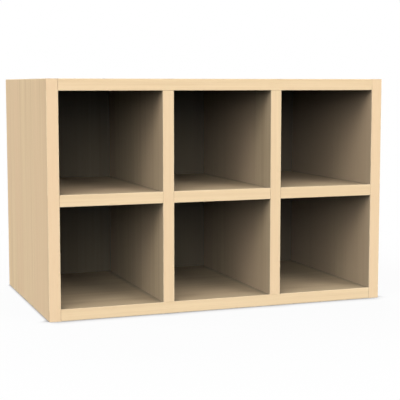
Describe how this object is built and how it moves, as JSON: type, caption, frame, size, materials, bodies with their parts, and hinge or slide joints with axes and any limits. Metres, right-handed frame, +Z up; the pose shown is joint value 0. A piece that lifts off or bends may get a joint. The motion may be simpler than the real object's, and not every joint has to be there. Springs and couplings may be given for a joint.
{
  "type": "hanging wardrobe shelf",
  "caption": "Open hanging wardrobe shelf of laminated board: a low wide box divided into cubbies by uprights and short shelves, with a closed back and wall rails.",
  "frame": {"origin": "middle of the underside of the whole shelf, halfway between the front edges and the wall", "axes": "+Z up, +Y from the open front to the wall, +X to the right of someone who faces the open front"},
  "size_m": [0.59, 0.348, 0.384],
  "materials": {
    "upright_board": "maple laminate on chipboard, satin, grain upright",
    "level_board": "maple laminate on chipboard, satin, grain level",
    "upright_band": "maple edge band, satin, grain upright",
    "level_band": "maple edge band, satin, grain level",
    "end_band": "maple edge band, satin",
    "back_board": "maple laminate on thin fibreboard, satin",
    "rail_board": "maple laminate on chipboard, satin",
    "zinc": "cast zinc, dull",
    "steel": "zinc-plated steel",
    "dowel_wood": "raw beech, fluted"
  },
  "bodies": {
    "root": {"left_side_panel": "upright_board", "right_side_panel": "upright_board", "left_divider": "upright_board", "right_divider": "upright_board", "top_panel": "level_board", "bottom_panel": "level_board", "left_shelf": "level_board", "middle_shelf": "level_board", "right_shelf": "level_board", "back_panel": "back_board", "upper_hanging_rail": "rail_board", "lower_hanging_rail": "rail_board", "left_side_front_band": "upright_band", "right_side_front_band": "upright_band", "left_divider_front_band": "upright_band", "right_divider_front_band": "upright_band", "top_panel_front_band": "level_band", "bottom_panel_front_band": "level_band", "left_shelf_front_band": "level_band", "middle_shelf_front_band": "level_band", "right_shelf_front_band": "level_band", "left_side_top_band": "end_band", "left_side_bottom_band": "end_band", "right_side_top_band": "end_band", "right_side_bottom_band": "end_band", "top_cam_locks": "zinc", "bottom_cam_locks": "zinc", "left_cam_bolts": "steel", "right_cam_bolts": "steel", "left_corner_dowels": "dowel_wood", "right_corner_dowels": "dowel_wood", "left_rail_dowels": "dowel_wood", "right_rail_dowels": "dowel_wood"}
  },
  "joints": []
}
